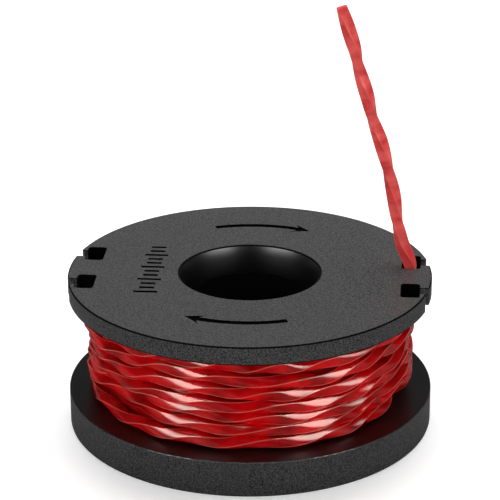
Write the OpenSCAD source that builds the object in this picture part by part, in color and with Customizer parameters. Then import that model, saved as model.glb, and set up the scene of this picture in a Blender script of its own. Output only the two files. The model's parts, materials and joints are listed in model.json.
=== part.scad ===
// Line spool for a string trimmer: three black mouldings and one length of twisted line.
// Millimetres. +Z is the spool's axis, z = 0 is the face it stands on, +X runs through the ears.

/* [Spool] */
// Radius of the upper flange
flange_r = 33; // [31.5:0.5:36]
// Radius of the lower flange
base_r = 33.3; // [31.5:0.1:36]
// Height between the two outer faces
spool_h = 28.2; // [26:0.2:34]
// Radius of the bore that the trimmer's spindle goes through
bore_r = 12.1; // [11:0.1:12.5]

/* [Upper flange] */
// Thickness of the upper flange
upper_t = 3.4; // [2.8:0.1:4.2]
// Radius of the bore's mouth at the top face
mouth_r = 12.85; // [12.7:0.05:13.2]
// Depth of the conical mouth
mouth_depth = 1.85; // [1:0.05:2.4]
// Chamfer along the edges of the flanges
edge_chamfer = 0.25; // [0.1:0.05:0.5]

/* [Line slots] */
// Distance of each slot's middle from the line through the ears
slot_offset = 6.6; // [5.5:0.05:8]
// Distance from the axis to the inner wall of a slot's hole
slot_seat = 27.5; // [26.5:0.1:28]
// Size of the hole towards the rim
slot_hole_l = 3.3; // [2.8:0.1:3.6]
// Size of the hole along the rim
slot_hole_w = 6; // [4.6:0.1:6.4]
// Corner radius of the hole
slot_corner_r = 0.6; // [0.3:0.1:0.8]
// Width of the throat that leads from the hole to the rim
throat_w = 2.6; // [2.3:0.1:3.4]
// Radius of the corners where a throat opens at the rim
throat_round = 0.5; // [0.3:0.1:1.1]
// Height by which the ears end above the flange's underside
ear_relief = 0.1; // [0.1:0.05:0.8]

/* [Marks in the top face] */
// Depth of the sunk marks
mark_depth = 0.45; // [0.15:0.05:0.6]
// Radius of the curved arrows
arrow_r = 22.8; // [20:0.1:24]
// Width of an arrow's line
arrow_w = 1.1; // [0.3:0.05:1.3]
// Angle that an arrow spans
arrow_span = 46; // [30:1:60]
// Angle from the line through the ears to an arrow's middle
arrow_middle = 88; // [70:1:110]
// Length of an arrow's head
arrow_head_l = 2.6; // [1.5:0.1:3]
// Width of an arrow's head
arrow_head_w = 2.9; // [1.8:0.1:3.4]
// Share of its length by which the head's barbs trail behind its neck
arrow_barb = 0.4; // [0.1:0.1:0.6]
// Distance from the axis to the middle of the row of plain bars
bar_row_x = 17.8; // [16.5:0.1:20]
// Number of bars
bar_count = 12; // [4:1:14]
// Distance from bar to bar
bar_pitch = 1.9; // [1.4:0.1:2]
// Length of a long bar
bar_l = 4.2; // [3:0.1:4.6]
// Length of a short bar
bar_short_l = 2.6; // [1.5:0.1:2.9]
// Width of a bar
bar_w = 0.7; // [0.3:0.05:0.9]

/* [Lower flange] */
// Height of the lower flange's rim
lower_t = 6.6; // [6.2:0.1:8]
// Thickness of the web that closes the lower flange towards the line
web_t = 2.2; // [1.6:0.1:2.2]
// Wall of the rim that hangs below the web
skirt_wall = 2.2; // [1.6:0.1:3]
// Wall of the boss round the bore
boss_wall = 3.1; // [2:0.1:4]
// Lead-in of the bore at the base
lead_in_w = 0.5; // [0.2:0.1:1]
// Number of drive lugs below the web
lug_count = 8; // [4:1:10]
// Thickness of a drive lug
lug_w = 2.4; // [1.6:0.1:3]
// Distance from the axis to the outer end of a lug
lug_reach = 22; // [19:0.5:26]
// Height of the lugs' lower edges above the base
lug_rise = 1.2; // [0.6:0.1:2.4]

/* [Hub barrel] */
// Wall of the barrel
barrel_wall = 2.9; // [2.5:0.1:3.6]
// Wall of the two collars that plug into the barrel
collar_wall = 1.2; // [0.8:0.1:1.4]
// Length of the collars
collar_l = 2.4; // [1.5:0.1:4]
// Keys on each collar
key_count = 4; // [2:1:6]
// Width of a key
key_w = 3; // [2:0.1:4]
// Height of a key over its collar
key_h = 0.6; // [0.3:0.1:0.8]
// Clearance of the plugged joints and of the line round the barrel
plug_gap = 0.05; // [0.02:0.01:0.1]
// Height of the line's anchor hole above the lower flange
anchor_rise = 4.5; // [3.6:0.1:8]
// Clearance round the line in its anchor hole
anchor_gap = 0.15; // [0.05:0.05:0.4]

/* [Line] */
// Thickness of the line
line_d = 1.9; // [1.6:0.05:2]
// Thickness of the winding's solids, less than the line's by what keeps the turns apart
wound_d = 1.65; // [1.4:0.05:1.7]
// Outer radius of the winding
winding_r = 29.6; // [28:0.1:30]
// Least clear gap between two turns
turn_gap = 0.45; // [0.42:0.01:0.6]
// Height of the first turn's middle above the lower flange
first_turn_rise = 1.2; // [1:0.1:2]
// Depth of the last turn's middle below the upper flange
last_turn_drop = 1.95; // [1.5:0.05:2.5]
// Radius of the line's bend into the slot
exit_bend_r = 2.4; // [2:0.1:3]
// Radius of the line's bend out of the inner layers
entry_bend_r = 2; // [1.6:0.1:2.6]
// Distance by which the last turn moves out towards its slot
exit_lift = 0.6; // [0.3:0.1:1]
// Gap between the line and the slot's wall beside it
slot_side_gap = 0.18; // [0.1:0.01:0.4]

/* [Hidden] */

MOULDING = [0.11, 0.11, 0.115];
LINE_RED = [0.72, 0.04, 0.06];
LINE_DARK_RED = [0.5, 0.01, 0.03];

CURVE_FN = 96;
CORNER_FN = 32;
CORNER_STEPS = 5;
ARROW_STEPS = 12;
TURN_RINGS = 24;
TURN_SIDES = 6;
TAIL_SIDES = 8;
BEND_STEP = 22.5;
LIFT_ANGLE = 45;
// How far a cut runs past the face it goes through, and the overlap of two joined shapes
PAST = 1;
EPS = 0.01;

// Heights of the winding space
wind_z0 = lower_t;
wind_z1 = spool_h - upper_t;

// Radii of the plugged joints, from the bore outwards
collar_r = bore_r + collar_wall;
barrel_r = bore_r + barrel_wall;
boss_r = bore_r + boss_wall;

// The outer layer of turns
turn_r = winding_r - wound_d / 2;
first_z = wind_z0 + first_turn_rise;
last_z = wind_z1 - last_turn_drop;
turns = floor((last_z - first_z) / (wound_d + turn_gap));
turn_pitch = (last_z - first_z) / turns;

// The core ends where the flat stretches between the rings of the turns come closest to the axis
core_r = turn_r * cos(180 / TURN_RINGS) - wound_d / 2 - plug_gap;

// Where the line stands upright in the slot at the rear of the right ear
upright_y = slot_offset - slot_hole_w / 2 + line_d / 2 + slot_side_gap;
lifted_r = turn_r + exit_lift;
upright_r = norm([lifted_r, exit_bend_r]);
upright_angle = asin(upright_y / upright_r);
upright_x = upright_r * cos(upright_angle);
last_angle = upright_angle + atan(exit_bend_r / lifted_r);
upright_z0 = last_z + exit_bend_r;
upright_z1 = upright_z0 + wound_d;

// Where the outer layer leaves the inner layers
entry_angle = last_angle + atan(entry_bend_r / turn_r);
entry_r = sqrt(pow(turn_r, 2) - pow(entry_bend_r, 2)) - entry_bend_r - wound_d;

// Route of the free end, counted from the top of the upright stretch
TAIL_OFFSETS = [
  [0, 0, 0], [0, 0, 1.2], [-0.6, 0, 3.1], [-1.6, 0, 5.5], [-2.3, 0, 8.6],
  [-2.9, 0, 11.5], [-3.4, 0.1, 14.9], [-4.4, 0.2, 19.5], [-5.9, 0.2, 25], [-7.6, 0.2, 30],
  [-8.4, 0.2, 33.3], [-9.4, 0.3, 36.6], [-10.2, 0.3, 39.4], [-10.8, 0.3, 42.1],
  [-11.9, 0.4, 45.6], [-13.2, 0.4, 49.8],
];

// ---------- Sweeping a tube along a route ----------

function unit(v) = v / norm(v);

// Direction of the route at point i: the mean of its two neighbouring stretches
function heading(path, i) =
  let (last = len(path) - 1)
  i == 0 ? unit(path[1] - path[0])
  : i == last ? unit(path[last] - path[last - 1])
  : unit(unit(path[i + 1] - path[i]) + unit(path[i] - path[i - 1]));

function square_to(v, axis) = unit(v - (v * axis) * axis);

// One side vector a point, carried along the route without twisting
function side_vectors(path, start) = [
  for (
    i = 0, side = square_to(start, heading(path, 0));
    i < len(path);
    i = i + 1,
    side = i < len(path) ? square_to(side, heading(path, i)) : side
  ) side
];

function ring(centre, axis, side, r, sides) =
  let (other = cross(axis, side))
  [for (k = [0:sides - 1]) centre + r * (cos(360 * k / sides) * side + sin(360 * k / sides) * other)];

module tube(path, d, sides, start) {
  side = side_vectors(path, start);
  count = len(path);
  points = [for (i = [0:count - 1]) each ring(path[i], heading(path, i), side[i], d / 2, sides)];
  walls = [
    for (i = [0:count - 2], k = [0:sides - 1])
    let (a = i * sides + k, b = i * sides + (k + 1) % sides)
    each [[a, a + sides, b + sides], [a, b + sides, b]]
  ];
  first_cap = [for (k = [1:sides - 2]) [0, k, k + 1]];
  last_ring = (count - 1) * sides;
  last_cap = [for (k = [1:sides - 2]) [last_ring, last_ring + k + 1, last_ring + k]];
  polyhedron(points = points, faces = concat(walls, first_cap, last_cap));
}

// ---------- Route of the outer turns ----------

function polar(r, angle, z) = [r * cos(angle), r * sin(angle), z];

// Straight out of the inner layers, then a bend into the first turn
function entry_route() =
  let (
    out = polar(1, entry_angle, 0),
    along = polar(1, entry_angle - 90, 0),
    foot = polar(entry_r, entry_angle, first_z)
  )
  [
    foot,
    for (a = [0:BEND_STEP:90 - BEND_STEP])
    foot + (wound_d + entry_bend_r * sin(a)) * out + entry_bend_r * (1 - cos(a)) * along
  ];

// The helix runs clockwise as it climbs, and its last stretch moves out to the slot
function turn_radius(to_go) = turn_r + exit_lift * max(0, 1 - to_go / LIFT_ANGLE);

function turns_route() = [
  for (i = [0:turns * TURN_RINGS])
  let (to_go = 360 * (turns - i / TURN_RINGS))
  polar(turn_radius(to_go), last_angle + to_go, first_z + turn_pitch * i / TURN_RINGS)
];

// A bend upwards and a straight upright stretch in the slot
function exit_route() =
  let (
    along = polar(1, last_angle - 90, 0),
    foot = polar(lifted_r, last_angle, last_z)
  )
  [
    for (a = [BEND_STEP:BEND_STEP:90])
    foot + exit_bend_r * sin(a) * along + [0, 0, exit_bend_r * (1 - cos(a))],
    [upright_x, upright_y, upright_z1]
  ];

turns_path = concat(entry_route(), turns_route(), exit_route());
tail_path = [for (p = TAIL_OFFSETS) [upright_x, upright_y, upright_z1] + p];

// Least gap of the wound tube to itself, between points at least half a turn apart
half_turn = TURN_RINGS / 2;
least_gap = min([
  for (i = [0:len(turns_path) - 1 - half_turn], j = [i + half_turn:len(turns_path) - 1])
  norm(turns_path[i] - turns_path[j])
]) - wound_d;

// ---------- Shared shapes ----------

module chamfered_disc(r, h, chamfer) {
  rotate_extrude($fn = CURVE_FN)
  polygon([
    [0, 0], [r - chamfer, 0], [r, chamfer], [r, h - chamfer], [r - chamfer, h], [0, h],
  ]);
}

module ring_of(r_in, r_out, h) {
  difference() {
    cylinder(r = r_out, h = h, $fn = CURVE_FN);
    bore_cut(r_in, 0, h);
  }
}

// A round cut from z0 to z1, running past both
module bore_cut(r, z0, z1) {
  translate([0, 0, z0 - PAST]) cylinder(r = r, h = z1 - z0 + 2 * PAST, $fn = CURVE_FN);
}

module rounded_rect(l, w, r) {
  translate([r - l / 2, -w / 2]) square([l - 2 * r, w]);
  translate([-l / 2, r - w / 2]) square([l, w - 2 * r]);
  for (x = [-1, 1], y = [-1, 1])
    translate([x * (l / 2 - r), y * (w / 2 - r)]) circle(r = r, $fn = CORNER_FN);
}

// The keys of a collar, each reaching from inside the collar out to its key height
module collar_keys(r_out, w, h) {
  for (k = [0:key_count - 1])
    rotate([0, 0, 45 + 360 * k / key_count])
      translate([collar_r - collar_wall / 2, -w / 2, 0])
        cube([r_out - collar_r + collar_wall / 2, w, h]);
}

module collar(z) {
  translate([0, 0, z]) {
    ring_of(bore_r, collar_r, collar_l);
    collar_keys(collar_r + key_h, key_w, collar_l);
  }
}

// The seat of a collar in the barrel, with its keyways, running PAST beyond the barrel's end
module collar_seat(z) {
  depth = collar_l + plug_gap + PAST;
  translate([0, 0, z]) {
    cylinder(r = collar_r + plug_gap, h = depth, $fn = CURVE_FN);
    collar_keys(collar_r + key_h + plug_gap, key_w + 2 * plug_gap, depth);
  }
}

// ---------- Upper flange ----------

// Rounds one corner where a throat opens at the rim. side is +1 for the corner away from the ear.
module throat_corner(side) {
  wall_y = slot_offset + side * throat_w / 2;
  centre_y = wall_y + side * throat_round;
  centre = [sqrt(pow(flange_r - throat_round, 2) - pow(centre_y, 2)), centre_y];
  rim_angle = atan2(centre.y, centre.x);
  outside = flange_r + PAST;
  arc = [
    for (i = [0:CORNER_STEPS])
    let (a = -90 * side + (rim_angle + 90 * side) * i / CORNER_STEPS)
    centre + (throat_round + EPS * i) * [cos(a), sin(a)]
  ];
  polygon(concat(
    arc,
    [outside * [cos(rim_angle), sin(rim_angle)]],
    [[outside, wall_y - side * EPS], [centre.x, wall_y - side * EPS]]
  ));
}

// A hole for the line, open to the rim through a narrower throat
module line_slot() {
  translate([slot_seat + slot_hole_l / 2, slot_offset])
    rounded_rect(slot_hole_l, slot_hole_w, slot_corner_r);
  translate([slot_seat + slot_hole_l / 2, slot_offset - throat_w / 2])
    square([flange_r, throat_w]);
  throat_corner(1);
  throat_corner(-1);
}

module four_slots() {
  for (a = [0, 180]) rotate(a)
    for (m = [0, 1]) mirror([0, m]) line_slot();
}

module arrow_mark() {
  head_angle = arrow_head_l / arrow_r * 180 / PI;
  start = arrow_middle - arrow_span / 2;
  neck = start + head_angle * (1 - arrow_barb);
  barb = start + head_angle;
  shaft_end = arrow_middle + arrow_span / 2;
  outer = arrow_r + arrow_w / 2;
  inner = arrow_r - arrow_w / 2;
  arc = [for (i = [0:ARROW_STEPS]) neck + (shaft_end - neck) * i / ARROW_STEPS];
  polygon(concat(
    [for (a = arc) outer * [cos(a), sin(a)]],
    [for (i = [ARROW_STEPS:-1:0]) inner * [cos(arc[i]), sin(arc[i])]]
  ));
  polygon([
    arrow_r * [cos(start), sin(start)],
    (arrow_r + arrow_head_w / 2) * [cos(barb), sin(barb)],
    arrow_r * [cos(neck + EPS), sin(neck + EPS)],
    (arrow_r - arrow_head_w / 2) * [cos(barb), sin(barb)],
  ]);
}

module bar_row() {
  for (i = [0:bar_count - 1]) {
    l = i % 3 == 0 ? bar_l : bar_short_l;
    translate([-bar_row_x - l / 2, (i - (bar_count - 1) / 2) * bar_pitch - bar_w / 2])
      square([l, bar_w]);
  }
}

// Takes the underside off the two ears
module ear_underside() {
  for (a = [0, 180]) rotate([0, 0, a])
    translate([slot_seat + slot_hole_l, throat_w / 2 - slot_offset, wind_z1 - PAST])
      cube([flange_r, 2 * slot_offset - throat_w, PAST + ear_relief]);
}

module bore_mouth() {
  rotate_extrude($fn = CURVE_FN)
    polygon([
      [0, spool_h - mouth_depth], [bore_r, spool_h - mouth_depth],
      [mouth_r, spool_h], [mouth_r, spool_h + PAST], [0, spool_h + PAST],
    ]);
}

module upper_flange() {
  color(MOULDING)
    difference() {
      union() {
        translate([0, 0, wind_z1]) chamfered_disc(flange_r, upper_t, edge_chamfer);
        collar(wind_z1 - collar_l);
      }
      translate([0, 0, wind_z1 - PAST]) linear_extrude(upper_t + 2 * PAST) four_slots();
      translate([0, 0, spool_h - mark_depth]) linear_extrude(PAST) {
        for (a = [0, 180]) rotate(a) arrow_mark();
        bar_row();
      }
      ear_underside();
      bore_cut(bore_r, wind_z1 - collar_l, spool_h);
      bore_mouth();
    }
}

// ---------- Hub barrel ----------

module hub_barrel() {
  color(MOULDING)
    difference() {
      translate([0, 0, wind_z0]) ring_of(bore_r, barrel_r, wind_z1 - wind_z0);
      collar_seat(wind_z1 - collar_l - plug_gap);
      collar_seat(wind_z0 - PAST);
      translate([0, PAST - bore_r, wind_z0 + anchor_rise])
        rotate([90, 0, 0])
          cylinder(d = line_d + 2 * anchor_gap, h = barrel_wall + 2 * PAST, $fn = CORNER_FN);
    }
}

// ---------- Lower flange ----------

module drive_lugs() {
  for (k = [0:lug_count - 1])
    rotate([0, 0, (k + 0.5) * 360 / lug_count])
      translate([bore_r + boss_wall / 2, -lug_w / 2, lug_rise])
        cube([lug_reach - bore_r - boss_wall / 2, lug_w, lower_t - web_t - lug_rise + EPS]);
}

// Conical lead-in of the bore at the base
module lead_in() {
  rotate_extrude($fn = CURVE_FN)
    polygon([
      [0, -PAST], [bore_r + lead_in_w, -PAST], [bore_r + lead_in_w, 0], [bore_r, lead_in_w],
      [0, lead_in_w],
    ]);
}

module lower_flange() {
  color(MOULDING)
    difference() {
      union() {
        difference() {
          chamfered_disc(base_r, lower_t, edge_chamfer);
          translate([0, 0, -PAST])
            ring_of(boss_r, base_r - skirt_wall, lower_t - web_t + PAST);
        }
        drive_lugs();
        collar(lower_t);
      }
      bore_cut(bore_r, 0, lower_t + collar_l);
      lead_in();
    }
}

// ---------- Line ----------

// The inner end of the line, pushed through the anchor hole of the barrel
module line_anchor_end() {
  color(LINE_DARK_RED)
    translate([0, -bore_r - anchor_gap, wind_z0 + anchor_rise])
      rotate([90, 0, 0])
        cylinder(d = line_d, h = barrel_wall - anchor_gap, $fn = CORNER_FN);
}

// The packed inner layers, with a pocket where the outer layer climbs out of them
module line_inner_layers() {
  pocket_w = wound_d + 2 * anchor_gap;
  color(LINE_DARK_RED)
    difference() {
      translate([0, 0, wind_z0 + plug_gap])
        ring_of(barrel_r + plug_gap, core_r, wind_z1 - wind_z0 - 2 * plug_gap);
      rotate([0, 0, entry_angle])
        translate([entry_r, -pocket_w / 2 - entry_bend_r, first_z - pocket_w / 2])
          cube([core_r, pocket_w + entry_bend_r, pocket_w]);
    }
}

module line_outer_turns() {
  echo(turns = turns, turn_pitch = turn_pitch, least_gap_mm = least_gap);
  color(LINE_RED) tube(turns_path, wound_d, TURN_SIDES, [0, 0, 1]);
}

module line_tail() {
  color(LINE_RED) tube(tail_path, line_d, TAIL_SIDES, [1, 0, 0]);
}

upper_flange();
hub_barrel();
lower_flange();
line_anchor_end();
line_inner_layers();
line_outer_turns();
line_tail();
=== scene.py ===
"""Line spool for a string trimmer: three black mouldings and one length of twisted red line."""

import json
import math

import bmesh
import bpy
from mathutils import Matrix, Quaternion, Vector

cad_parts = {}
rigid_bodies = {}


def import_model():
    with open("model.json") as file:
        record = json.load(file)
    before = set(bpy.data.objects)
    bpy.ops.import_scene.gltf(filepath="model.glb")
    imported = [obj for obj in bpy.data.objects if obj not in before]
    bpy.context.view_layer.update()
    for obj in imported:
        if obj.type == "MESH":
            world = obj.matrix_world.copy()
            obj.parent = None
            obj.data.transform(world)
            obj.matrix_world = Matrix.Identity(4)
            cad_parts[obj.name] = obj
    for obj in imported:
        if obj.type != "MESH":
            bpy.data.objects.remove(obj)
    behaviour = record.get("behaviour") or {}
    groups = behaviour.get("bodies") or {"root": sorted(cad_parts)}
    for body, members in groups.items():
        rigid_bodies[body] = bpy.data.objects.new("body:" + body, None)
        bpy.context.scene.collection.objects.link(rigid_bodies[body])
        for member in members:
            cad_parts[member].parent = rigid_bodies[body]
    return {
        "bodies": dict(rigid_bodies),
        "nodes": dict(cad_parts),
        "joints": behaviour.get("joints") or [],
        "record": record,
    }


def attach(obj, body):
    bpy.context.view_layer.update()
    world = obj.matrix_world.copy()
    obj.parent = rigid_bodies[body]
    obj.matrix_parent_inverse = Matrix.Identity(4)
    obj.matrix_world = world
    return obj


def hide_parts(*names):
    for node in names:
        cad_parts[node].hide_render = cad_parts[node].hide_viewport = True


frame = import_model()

bl_info = {
    "name": "Trimmer Line Spool",
    "version": (1, 0, 0),
    "blender": (4, 5, 0),
    "location": "3D View > Sidebar > Spool",
    "description": "Builds a wound line spool and the stage that it stands on",
    "category": "Add Mesh",
}

MM = 0.001
QUARTER = math.pi / 2
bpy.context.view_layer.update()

# Steps once round a flange, the bore and the anchor hole, along an arrow, and in a corner, a bend
# and a rounding
RIM_STEPS = 240
BORE_STEPS = 144
ANCHOR_STEPS = 32
ARROW_STEPS = 16
CORNER_STEPS = 6
BEND_STEPS = 8
ROUND_STEPS = 3
SMALL_ROUND_STEPS = 2
# Samples of the free end's curve between two points of its route
CURVE_SAMPLES = 12
# Vertices closer than this are one
MERGE = 0.001 * MM
# Edges that turn by more than this are rounded or kept sharp: those of the mouldings and of the line
SHARP_ANGLE = math.radians(32)
LINE_SHARP_ANGLE = math.radians(50)
# A face looks up or down if its normal has at least this much of that direction
LEVEL = 0.9
# Places of the mouldings' other materials, each a painted shade: the polished bore, the dull recesses and
# the dark edges
SHADED_BORE, SHADED_RECESS, SHADED_EDGE = 1, 2, 3
# The place that leaves a new face the material of the faces beside it
SAME = -1
# One bar in this many is long
LONG_BAR = 3
# The slots' dull walls, painted in shade, end at this share of the distance from the axis to their outer
# wall
SHADE_REACH = 1.05

# Where the line leaves the winding upwards, in the rear slot of the right ear
EXIT_X = 29.09 * MM
EXIT_Y = 4.73 * MM
EXIT_Z = 26.9 * MM
# Height above which the free end shows its full colour, and the height in which it comes to that: below,
# it is painted in shade towards its slot
SHADE_TOP = 36 * MM
SHADE_FADE = 6 * MM
# Route of the free end, counted from where it leaves the winding, in millimetres
TAIL_OFFSETS = [
    (0, 0, 0), (0, 0, 1.2), (-0.6, 0, 3.1), (-1.6, 0, 5.5), (-2.3, 0, 8.6),
    (-2.9, 0, 11.5), (-3.4, 0.1, 14.9), (-4.4, 0.2, 19.5), (-5.9, 0.2, 25), (-7.6, 0.2, 30),
    (-8.4, 0.2, 33.3), (-9.4, 0.3, 36.6), (-10.2, 0.3, 39.4), (-10.8, 0.3, 42.1),
    (-11.9, 0.4, 45.6), (-13.2, 0.4, 49.8),
]
# Height of each outer turn's middle, in millimetres, at places of the front given in degrees
TURN_HEIGHTS = {
    -25: [8.2, 10.3, 12.3, 14.6, 16.7, 19.4, 22.2],
    -58.3: [8.0, 10.1, 12.4, 14.3, 16.6, 19.2, 21.8],
    -113.3: [8.15, 10.8, 13.5, 15.4, 18.15, 20.65, 23],
    -140: [7.9, 11.2, 13.6, 15.1, 17.3, 19.8, 22.4],
}
OUTER_TURNS = 7
# Where the turns' twist differs, in degrees: the place, its span and the change of each turn
TWISTED_PLACE = -58.3
TWISTED_SPAN = 42
TWIST_CHANGES = (31, 39, 5, 26, -16, 38, -37)
# Places where the turns lie deeper, or bulge if the depth is below zero: angle, height and depth
LOOSE_PLACES = [
    (-139, 12, 3), (-112, 13.5, 0.4), (-36, 9.9, 1.2), (-12, 12.3, -0.7), (-164, 12, -0.7),
    (-168, 21, -0.9), (-6, 20.5, -0.5),
]
# Waves of the turns' wander: share of the sway, waves a radian, and start
SWAY_WAVES = ((0.5, 2.63, 0.4), (0.45, 4.37, 1.7), (0.3, 7.91, 0.9))
# The turns wander in and out this much faster than up and down
OUTWARD_PACE = 1.7
# Angles in which the outer layer climbs out, the wander comes and goes, and the last turn widens
CLIMB_SPAN = math.radians(16)
SWAY_START_SPAN = math.radians(20)
SWAY_END_SPAN = math.radians(50)
LIFT_SPAN = math.radians(45)
# Distance of the second layer's middle from each flange, as a share of the gauge
INNER_ROOM = 0.6
# Distance of that layer's rings, as a share of the outer layer's
INNER_STEP = 1.6
# Sides of the line's section, points across each side, and steps in each corner
SIDES = 4
FLAT_POINTS = (-0.7, 0, 0.7)
SECTION_STEPS = 2

# Camera, in metres and radians; its lens and sensor are in millimetres
LENS = 160.63
SENSOR_WIDTH = 36
CAMERA_PLACE = (0.03073, -0.37211, 0.18503)
CAMERA_TARGET = (0.00004, 0, 0.03244)
CAMERA_ROLL = -0.00348
NEAREST = 0.01
FARTHEST = 10
# Floor and lamps, in metres
FLOOR_REACH = 3
LAMP_TARGET = (0, 0, 0.016)
TOP_LAMP_PLACE = (0, 0.25, 0.7)
TOP_LAMP_SIZE = 0.6
# What a gloss shows fades between these: the backdrop's sides, as cosines of the angle from its middle,
# and the backdrop's top and the panels' foot, as the upward part of a direction
BACKDROP_EDGE = (0.88, 0.98)
BACKDROP_TOP = (0.9, 0.6)
PANEL_FOOT = (0.1, 0.4)
# Half the width of a panel's soft side, as a share of the panel
PANEL_BLUR = 0.4


# ---------- Sizes and colours that a user may change ----------


def length(name, description, millimetres):
    """A length property with its default in millimetres."""
    return bpy.props.FloatProperty(
        name=name, description=description, default=millimetres * MM, min=0,
        precision=5, unit="LENGTH", subtype="DISTANCE",
    )


def angle(name, description, degrees):
    """An angle property with its default in degrees."""
    return bpy.props.FloatProperty(
        name=name, description=description, default=math.radians(degrees), subtype="ANGLE",
    )


def share(name, description, default):
    """A number from 0 to 1."""
    return bpy.props.FloatProperty(
        name=name, description=description, default=default, min=0, max=1, subtype="FACTOR",
    )


def colour(name, description, default):
    """A linear colour."""
    return bpy.props.FloatVectorProperty(
        name=name, description=description, default=default, min=0, max=1, size=3, subtype="COLOR",
    )


def number(name, description, default, subtype="NONE"):
    """A number from 0 upwards."""
    return bpy.props.FloatProperty(
        name=name, description=description, default=default, min=0, subtype=subtype,
    )


class SpoolSizes(bpy.types.PropertyGroup):
    """Sizes of the three mouldings."""

    flange_radius: length("Flange Radius", "Radius of the slotted flange", 33)
    base_radius: length("Base Radius", "Radius of the lower flange", 33.3)
    height: length("Height", "Height between the outer faces", 28.2)
    bore_radius: length("Bore Radius", "Radius of the spindle bore", 12.1)
    upper_thickness: length("Upper Thickness", "Thickness of the slotted flange", 3.4)
    lower_thickness: length("Lower Thickness", "Height of the lower rim", 6.6)
    mouth_radius: length("Mouth Radius", "Radius of the bore's mouth", 12.85)
    mouth_depth: length("Mouth Depth", "Depth of the conical mouth", 1.85)
    rim_round: length("Rim Rounding", "Rounding along the flanges' edges", 0.24)
    slot_round: length("Slot Rounding", "Rounding along the line slots", 0.1)
    small_round: length("Small Rounding", "Rounding along the lugs and the barrel", 0.12)
    mark_round: length("Mark Rounding", "Rounding along the sunk marks", 0.05)
    mark_depth: length("Mark Depth", "Depth of the sunk marks", 0.45)

    @property
    def underside(self):
        """Height of the slotted flange's underside."""
        return self.height - self.upper_thickness


class SlotSizes(bpy.types.PropertyGroup):
    """Sizes of the keyhole line slots."""

    offset: length("Offset", "Distance of a slot's middle from the line through the ears", 6.6)
    seat: length("Seat", "Distance from the axis to a slot's inner wall", 27.5)
    hole_length: length("Hole Length", "Size of the hole towards the rim", 3.3)
    hole_width: length("Hole Width", "Size of the hole along the rim", 6)
    hole_round: length("Hole Rounding", "Corner radius of the hole", 0.6)
    throat_width: length("Throat Width", "Width of the way out to the rim", 2.6)
    throat_round: length("Throat Rounding", "Corner radius at the rim", 0.5)
    ear_relief: length("Ear Relief", "Height of the ears above the flange's underside", 0.1)
    flash: length("Flash", "Thickness of the moulding flash in each hole", 0.16)
    flash_place: length("Flash Place", "Distance of the flash from the hole's inner wall", 0.72)

    @property
    def wall(self):
        """Distance from the axis to a hole's outer wall."""
        return self.seat + self.hole_length


class MarkSizes(bpy.types.PropertyGroup):
    """Sizes of the sunk marks in the top face."""

    arrow_radius: length("Arrow Radius", "Radius of the curved arrows", 22.8)
    arrow_width: length("Arrow Width", "Width of an arrow's line", 1.3)
    arrow_span: angle("Arrow Span", "Angle that an arrow spans", 46)
    arrow_middle: angle("Arrow Middle", "Angle from the ears to an arrow's middle", 88)
    head_length: length("Head Length", "Length of an arrow's head", 3.2)
    head_width: length("Head Width", "Width of an arrow's head", 3.3)
    barb: share("Barb", "Share of its length by which the head's barbs trail", 0.4)
    row_distance: length("Row Distance", "Distance from the axis to the row of bars", 17.8)
    bar_count: bpy.props.IntProperty(name="Bars", description="Number of bars", default=12, min=0)
    bar_pitch: length("Bar Pitch", "Distance from bar to bar", 1.9)
    bar_length: length("Bar Length", "Length of a long bar", 4.2)
    short_bar_length: length("Short Bar Length", "Length of a short bar", 2.6)
    bar_width: length("Bar Width", "Width of a bar", 0.7)


class BodySizes(bpy.types.PropertyGroup):
    """Sizes inside the spool and on its underside."""

    web: length("Web", "Thickness of the web over the recess", 2.2)
    skirt: length("Skirt", "Wall of the rim below the web", 2.2)
    boss: length("Boss", "Wall of the boss round the bore", 3.1)
    lead_in: length("Lead-in", "Lead-in of the bore at the base", 0.5)
    lug_count: bpy.props.IntProperty(name="Lugs", description="Number of lugs", default=8, min=1)
    lug_width: length("Lug Width", "Thickness of a drive lug", 2.4)
    lug_reach: length("Lug Reach", "Distance from the axis to a lug's outer end", 22)
    lug_rise: length("Lug Rise", "Height of the lugs above the base", 1.2)
    barrel: length("Barrel", "Wall of the barrel that carries the line", 2.9)
    collar: length("Collar", "Wall of the plugged collars", 1.2)
    collar_length: length("Collar Length", "Length of the plugged collars", 2.4)
    plug_gap: length("Plug Gap", "Clearance of the plugged joints", 0.05)
    anchor_rise: length("Anchor Rise", "Height of the anchor hole over the lower flange", 4.5)
    anchor_gap: length("Anchor Gap", "Clearance round the line in its hole", 0.15)


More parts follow.
